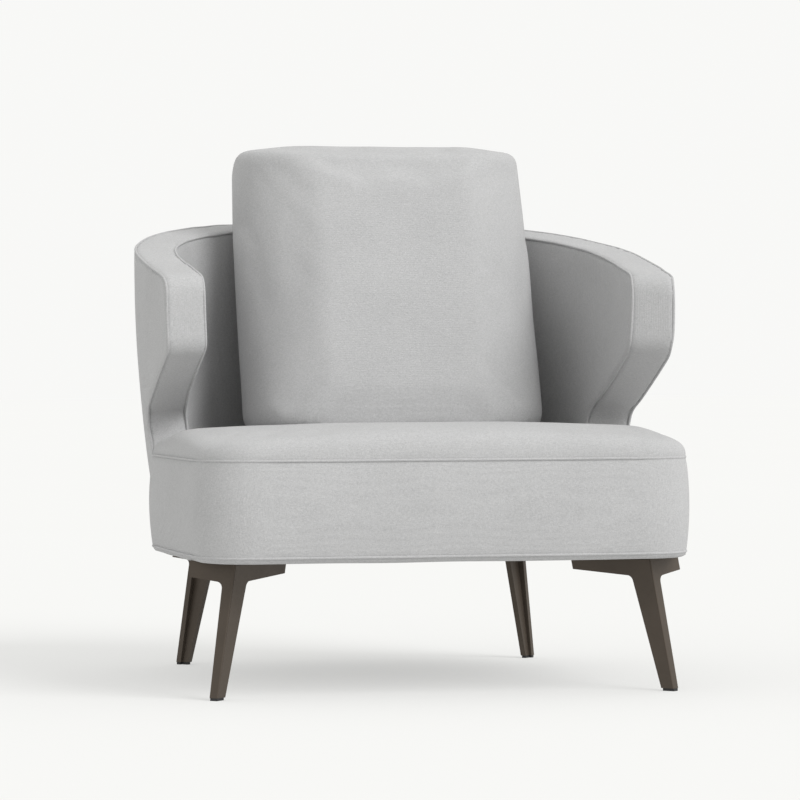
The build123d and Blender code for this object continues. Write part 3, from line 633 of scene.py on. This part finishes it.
for name, height, replaced in (
    ("seat_top_welt", SEAT_SEAM_Z, "seat_top_piping"),
    ("seat_bottom_welt", SEAT_LOW_SEAM_Z, "seat_bottom_piping"),
):
    seam = laid_on(seat_line(0.0, height), seat_mesh, WELT_LIFT)
    welt = make_object(name, tube(seam, WELT_RADIUS), "frame")
    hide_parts(replaced)

# ---- shell ----
layers = [nodes[name].data for name in ("shell_outer_foam", "shell_panel", "shell_inner_foam")]
shell_mesh = remeshed(merged(layers), SHELL_VOXEL, 6)
grow(shell_mesh, FABRIC)
crumple(shell_mesh, 7.0, 0.0008)
shell = make_object("shell_padding", shell_mesh, "frame")
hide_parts("shell_outer_foam", "shell_inner_foam")
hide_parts("shell_outer_cover", "shell_inner_cover", "shell_border")

for name, inset, low_z, replaced in (
    ("shell_outer_welt", 0.0, SEAT_BOTTOM_Z, "shell_outer_piping"),
    ("shell_inner_welt", SHELL_THICKNESS, INNER_WELT_LOW_Z, "shell_inner_piping"),
):
    seam = laid_on(shell_seam(inset, 0.0, low_z), shell_mesh, WELT_LIFT)
    welt = make_object(name, tube(seam, WELT_RADIUS), "frame")
    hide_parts(replaced)

# ---- back cushion ----
def tucked_under(points):
    """The cushion's points, drawn in towards its middle just above the seat."""
    seat_y, seat_z = CUSHION_SEAT
    seat_z = seat_z + CUSHION_SEAT_SLOPE * (points[:, 1] - seat_y)
    low = np.clip(1.0 - (points[:, 2] - seat_z) / CUSHION_TUCK_HEIGHT, 0.0, 1.0)
    inward = np.array(CUSHION_MIDDLE) - points[:, :2]
    inward /= np.maximum(np.abs(inward), CUSHION_FLAT)
    moved = points.copy()
    moved[:, :2] += inward * (CUSHION_TUCK * low ** 2.5)[:, None]
    return moved


cushion_mesh = remeshed(merged([nodes["cushion_filling"].data]), VOXEL, 8)
set_positions(cushion_mesh, tucked_under(positions(cushion_mesh)))
points = positions(cushion_mesh)
facing = normals(cushion_mesh)
resting = (facing[:, 2] < -0.5) & (points[:, 2] < 0.42)
leaning = facing[:, 1] > 0.3
inflate(cushion_mesh, CUSHION_PRESSURE, CUSHION_MOVE_CAP, resting | leaning)
grow(cushion_mesh, FABRIC * 0.9 * ~resting)
crumple(cushion_mesh, 8.0, 0.0012, lambda p: (p[:, 2] > 0.40).astype(float))
cushion = make_object("back_cushion", cushion_mesh, "back_cushion")
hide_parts("cushion_cover", "cushion_filling")

# ---- room, light and camera ----
# The floor glows a little, so that its shadows stay light and it blends into the background.
FLOOR_PALE = (0.364, 0.364, 0.359)
FLOOR_PALER = (0.368, 0.368, 0.363)
FLOOR_GLOW = 0.465
BACKGROUND = (1.0, 1.0, 0.985, 1.0)
BACKGROUND_STRENGTH = 0.94
KEY_FROM = (2.2, -2.7, 2.6)  # from the right, in front of the chair
KEY_STRENGTH = 1.9
KEY_ANGLE = math.radians(35.0)
CAMERA_YAW = math.radians(12.0)
CAMERA_PITCH = math.radians(0.643)
CAMERA_ROLL = math.radians(-0.171)
CAMERA_PLACE = (-1.2465, -5.8939, 0.5005)
CAMERA_LENS = 173.2

far = 40.0
floor_mesh = bpy.data.meshes.new("floor")
floor_mesh.from_pydata([(-far, -far, 0), (far, -far, 0), (far, far, 0), (-far, far, 0)], [], [(0, 1, 2, 3)])
floor_object = bpy.data.objects.new("floor", floor_mesh)
scene.collection.objects.link(floor_object)
floor_shader = Shader("pale_floor")
floor_shader.set(
    Base_Color=floor_shader.ramp(floor_shader.noise(0.4), [(0.3, FLOOR_PALE), (0.7, FLOOR_PALER)]),
    Roughness=1.0,
    Specular_IOR_Level=0.0,
    Emission_Color=BACKGROUND,
    Emission_Strength=FLOOR_GLOW,
)
floor_mesh.materials.append(floor_shader.material)

world = bpy.data.worlds.new("studio")
world.use_nodes = True
world.node_tree.nodes["Background"].inputs["Color"].default_value = BACKGROUND
world.node_tree.nodes["Background"].inputs["Strength"].default_value = BACKGROUND_STRENGTH
scene.world = world
scene.view_settings.view_transform = "Standard"

key_data = bpy.data.lights.new("key", "SUN")
key_data.energy = KEY_STRENGTH
key_data.angle = KEY_ANGLE
key = bpy.data.objects.new("key", key_data)
scene.collection.objects.link(key)
key.rotation_euler = (-Vector(KEY_FROM)).to_track_quat("-Z", "Y").to_euler()

camera_data = bpy.data.cameras.new("camera")
camera_data.sensor_width = 36.0
camera_data.lens = CAMERA_LENS
camera_data.clip_end = 100.0
camera = bpy.data.objects.new("camera", camera_data)
scene.collection.objects.link(camera)
forward = Vector((
    math.sin(CAMERA_YAW) * math.cos(CAMERA_PITCH),
    math.cos(CAMERA_YAW) * math.cos(CAMERA_PITCH),
    -math.sin(CAMERA_PITCH),
))
right = Vector((math.cos(CAMERA_YAW), -math.sin(CAMERA_YAW), 0.0))
up = right.cross(forward)
rolled = right * math.cos(CAMERA_ROLL) + up * math.sin(CAMERA_ROLL)
top = rolled.cross(forward)
turned = Matrix((rolled, top, -forward)).transposed().to_4x4()
camera.matrix_world = Matrix.Translation(CAMERA_PLACE) @ turned
scene.camera = camera


def corners(box):
    return [[float(value) for value in corner] for corner in box]
